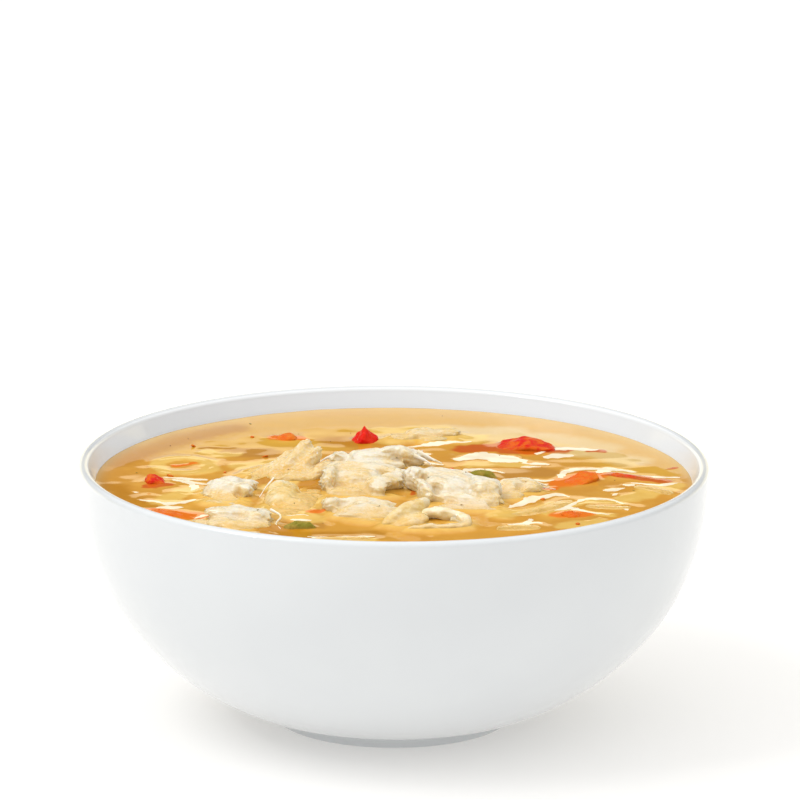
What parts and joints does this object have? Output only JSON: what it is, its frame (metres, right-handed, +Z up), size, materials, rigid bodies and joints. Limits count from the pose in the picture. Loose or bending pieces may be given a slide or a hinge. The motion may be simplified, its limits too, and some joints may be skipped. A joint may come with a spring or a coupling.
{
  "type": "chicken noodle soup in a bowl",
  "caption": "Bowl of creamy yellow chicken noodle soup: a round white bowl filled with broth, torn chicken, egg noodles, carrot, red pepper and celery.",
  "frame": {"origin": "on the table, at the middle of the bowl's foot", "axes": "+Z up, along the bowl's axis; -Y towards the diner, +X to the diner's right"},
  "size_m": [0.1584, 0.1584, 0.0686],
  "materials": {
    "porcelain": "glossy white glaze",
    "broth": "wet, creamy yellow broth with fat on top",
    "chicken": "moist, fibrous torn meat",
    "noodle": "wet, slightly translucent egg noodle",
    "carrot": "wet, cooked carrot",
    "pepper": "wet, cooked red pepper with a glossy skin",
    "celery": "wet, cooked olive-green celery"
  },
  "bodies": {
    "root": {"bowl": "porcelain", "broth": "broth", "carrot_far": "carrot", "carrot_left": "carrot", "carrot_near": "carrot", "carrot_right": "carrot", "celery_middle": "celery", "celery_near": "celery", "chicken_back": "chicken", "chicken_crest": "chicken", "chicken_crumb": "chicken", "chicken_far": "chicken", "chicken_flat": "chicken", "chicken_left": "chicken", "chicken_main": "chicken", "chicken_near": "chicken", "chicken_right": "chicken", "chicken_shred": "chicken", "noodle_arch": "noodle", "noodle_dome": "noodle", "noodle_edge": "noodle", "noodle_fold": "noodle", "noodle_front": "noodle", "noodle_loop": "noodle", "noodle_near": "noodle", "noodle_right": "noodle", "noodle_ring": "noodle", "noodle_side": "noodle", "pepper_far": "pepper", "pepper_left": "pepper", "pepper_right": "pepper", "pepper_strip": "pepper"}
  },
  "joints": []
}
